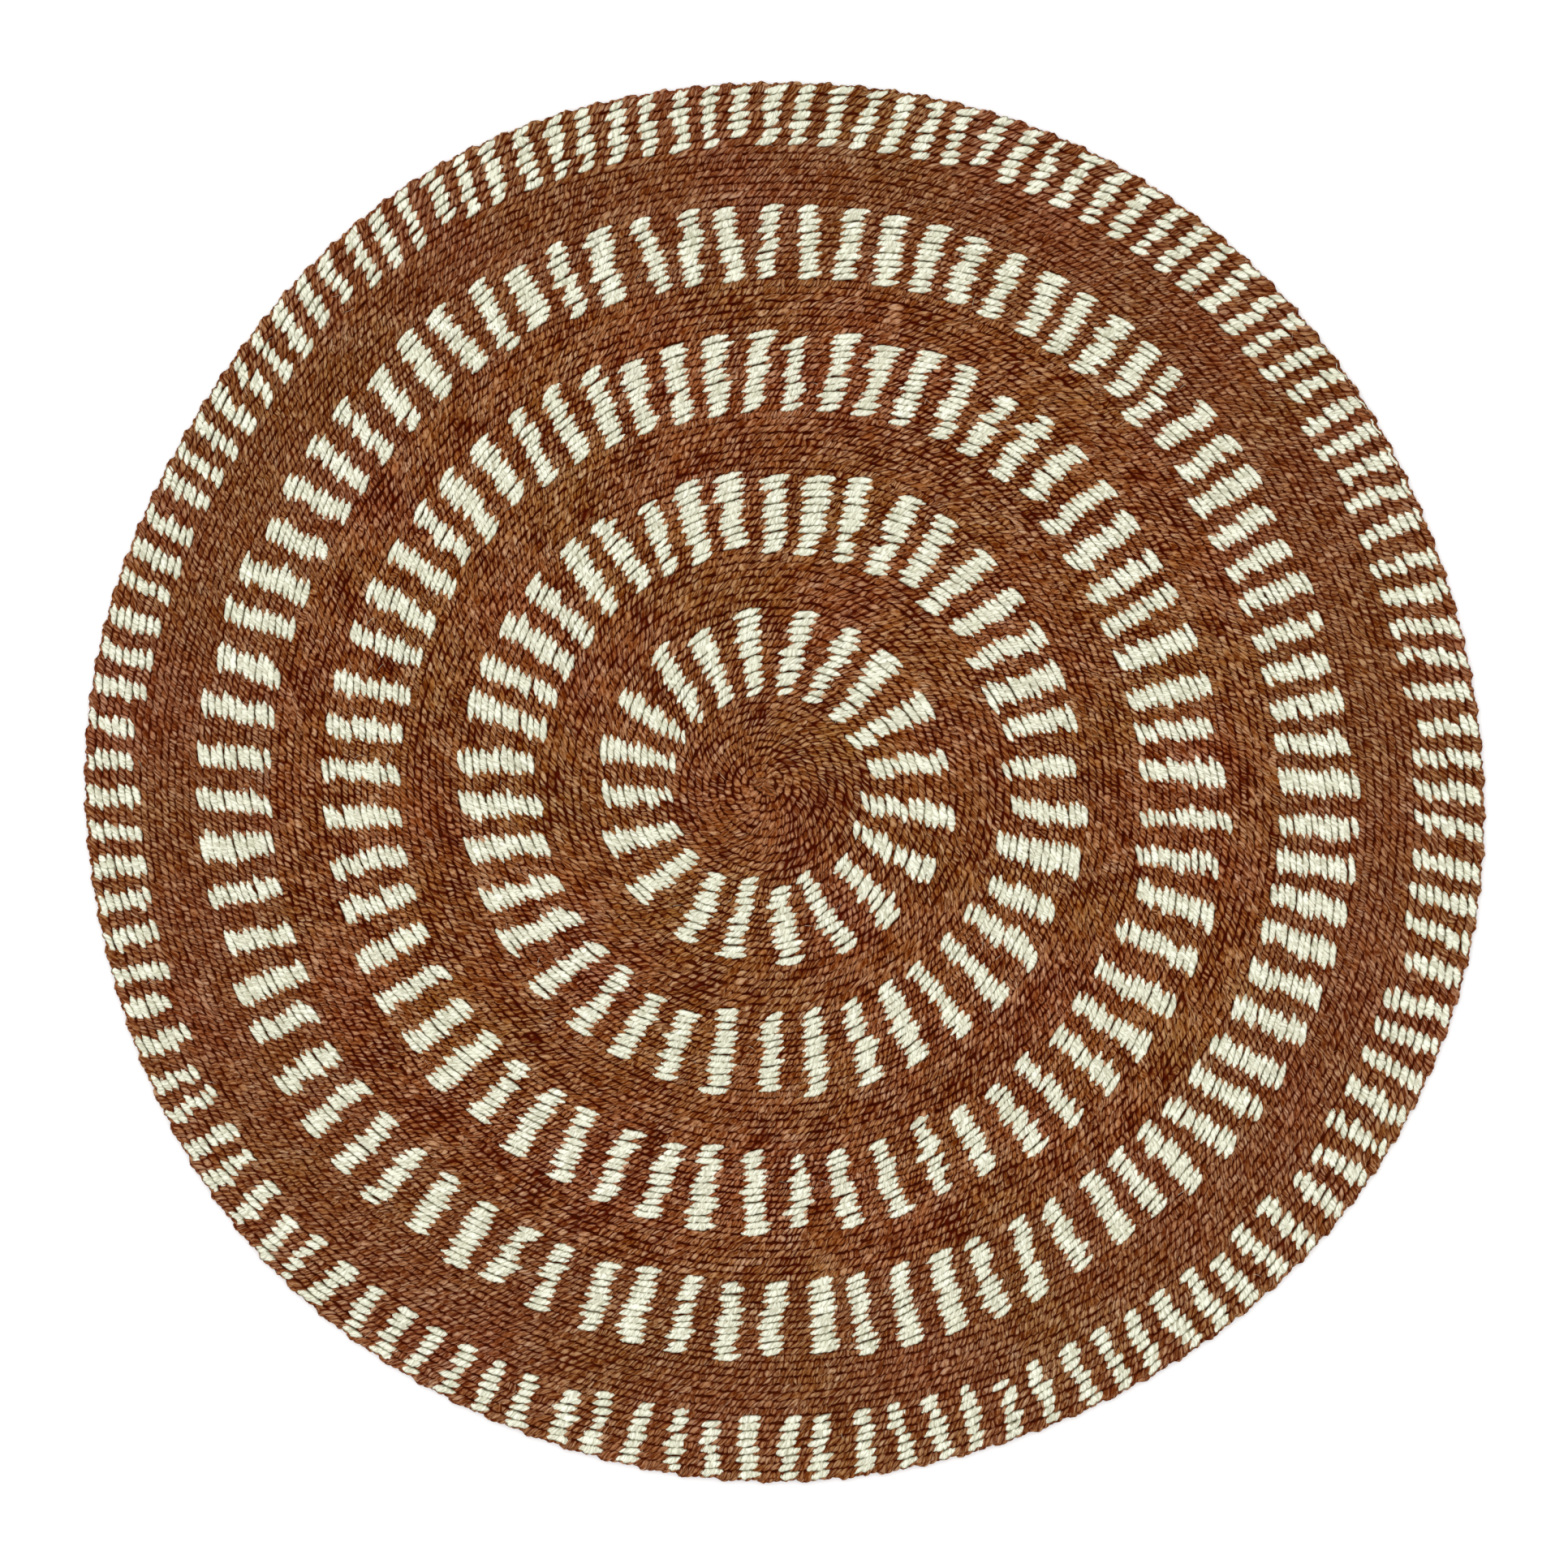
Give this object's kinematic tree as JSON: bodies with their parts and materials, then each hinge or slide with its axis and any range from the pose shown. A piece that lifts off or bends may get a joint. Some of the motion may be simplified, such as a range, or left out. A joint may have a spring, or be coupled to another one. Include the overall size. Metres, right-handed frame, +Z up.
{
  "type": "round jute rug",
  "caption": "Flat round floor rug of jute yarn twined in a spiral, with rings of cream radial bars on a rust-brown ground.",
  "frame": {"origin": "middle of the underside, level with the floor", "axes": "+Z up from the floor, the thin way through the rug; +X to the right and +Y to the top as the rug is seen from above"},
  "size_m": [0.9002, 0.9, 0.008],
  "materials": {
    "jute_yarn": "hand-spun two-ply jute yarn, dyed rust-brown, with undyed cream floats, matt and slightly hairy"
  },
  "bodies": {
    "root": {"rug": "jute_yarn"}
  },
  "joints": []
}
